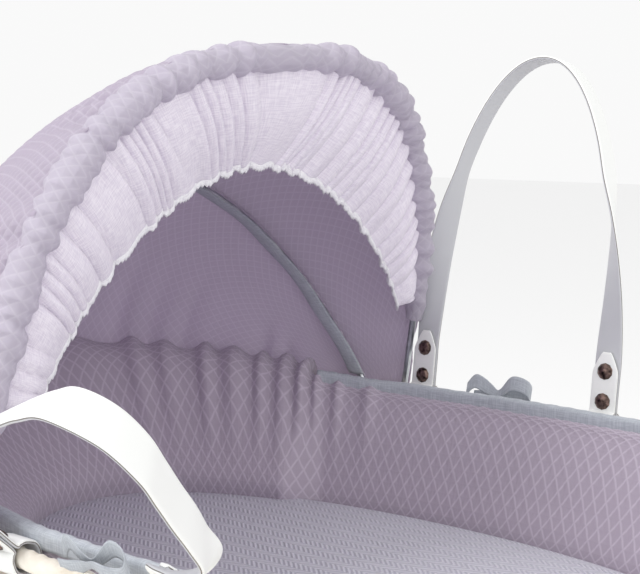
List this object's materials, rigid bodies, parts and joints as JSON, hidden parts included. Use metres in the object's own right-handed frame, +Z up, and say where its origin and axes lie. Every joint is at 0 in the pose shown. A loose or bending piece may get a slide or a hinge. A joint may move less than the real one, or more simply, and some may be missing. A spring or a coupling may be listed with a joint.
{
  "type": "bassinet on stand",
  "caption": "Moses basket dressed in quilted mauve fabric with a gathered folding hood, riveted carry handles and a folding wooden cross-leg stand.",
  "frame": {"origin": "on the floor, in the middle of the outline", "axes": "+Z up, +X towards the foot of the basket, +Y towards the far side"},
  "size_m": [0.854, 0.7102, 0.9825],
  "materials": {
    "wicker": "whitewashed",
    "board": "matt",
    "beech": "satin lacquer",
    "foot_rubber": "matt",
    "steel": "satin",
    "bronze": "antique",
    "white_plastic": "matt",
    "webbing": "woven",
    "strap_leatherette": "grained",
    "liner_quilt": "quilted",
    "hood_quilt": "quilted",
    "binding_tape": "woven",
    "mattress_knit": "knitted",
    "frill_linen": "plain weave"
  },
  "bodies": {
    "stand_outer": {"outer_leg_far": "beech", "outer_leg_near": "beech", "outer_foot_far": "foot_rubber", "outer_foot_near": "foot_rubber", "outer_top_rail": "beech", "outer_stretcher": "beech", "pivot_bolt_far": "steel", "pivot_bolt_near": "steel", "pivot_nut_far": "steel", "pivot_nut_near": "steel", "pivot_washer_far": "white_plastic", "pivot_washer_near": "white_plastic", "webbing_far": "webbing", "webbing_near": "webbing"},
    "stand_inner": {"inner_leg_far": "beech", "inner_leg_near": "beech", "inner_foot_far": "foot_rubber", "inner_foot_near": "foot_rubber", "inner_top_rail": "beech", "inner_stretcher": "beech"},
    "basket": {"basket_wall": "wicker", "base_board": "board", "rim_border": "wicker", "padded_liner": "liner_quilt", "liner_binding": "binding_tape", "mattress": "mattress_knit", "ribbon_bow_far": "binding_tape", "ribbon_bow_near": "binding_tape", "hood_socket_far": "white_plastic", "hood_socket_near": "white_plastic", "hood_pin_far": "steel", "hood_pin_near": "steel", "hood_back_panel": "hood_quilt"},
    "handle_far": {"handle_strap_far": "strap_leatherette", "rivet_far_head_lower": "bronze", "rivet_far_head_upper": "bronze", "rivet_far_foot_lower": "bronze", "rivet_far_foot_upper": "bronze"},
    "handle_near": {"handle_strap_near": "strap_leatherette", "rivet_near_head_lower": "bronze", "rivet_near_head_upper": "bronze", "rivet_near_foot_lower": "bronze", "rivet_near_foot_upper": "bronze"},
    "hood_mid": {"mid_hoop": "steel", "mid_hoop_eye_far": "white_plastic", "mid_hoop_eye_near": "white_plastic", "hood_tape": "binding_tape"},
    "hood_front": {"front_hoop": "steel", "front_hoop_eye_far": "white_plastic", "front_hoop_eye_near": "white_plastic", "hood_casing": "hood_quilt", "hood_frill": "frill_linen", "hood_front_panel": "hood_quilt"}
  },
  "joints": [
    {"name": "basket_lift", "type": "slide", "parent": "stand_outer", "child": "basket", "axis": [0, 0, 1], "range_m": [0, 0.42]},
    {"name": "stand_fold", "type": "hinge", "parent": "stand_outer", "child": "stand_inner", "pos_m": [0.004, 0.05087, 0.26122], "axis": [0, -1, 0], "range_deg": [0, 80], "deforming": ["webbing_far", "webbing_near"]},
    {"name": "handle_far_swing", "type": "hinge", "parent": "basket", "child": "handle_far", "pos_m": [0.004, 0.28313, 0.66137], "axis": [-1, 0, 0], "range_deg": [0, 60]},
    {"name": "handle_near_swing", "type": "hinge", "parent": "basket", "child": "handle_near", "pos_m": [0.004, -0.1814, 0.66137], "axis": [1, 0, 0], "range_deg": [-28, 30]},
    {"name": "hood_mid_fold", "type": "hinge", "parent": "basket", "child": "hood_mid", "pos_m": [-0.126, 0.05087, 0.61], "axis": [0, -1, 0], "range_deg": [0, 35], "deforming": ["hood_back_panel"]},
    {"name": "hood_front_fold", "type": "hinge", "parent": "hood_mid", "child": "hood_front", "pos_m": [-0.126, 0.05087, 0.61], "axis": [0, -1, 0], "range_deg": [0, 30.2], "deforming": ["hood_front_panel", "hood_frill"]}
  ],
  "couplings": [
    {"joint": "stand_fold", "follows": "basket_lift", "rad_per_m": 3.3},
    {"joint": "hood_front_fold", "follows": "hood_mid_fold", "ratio": 0.857}
  ]
}
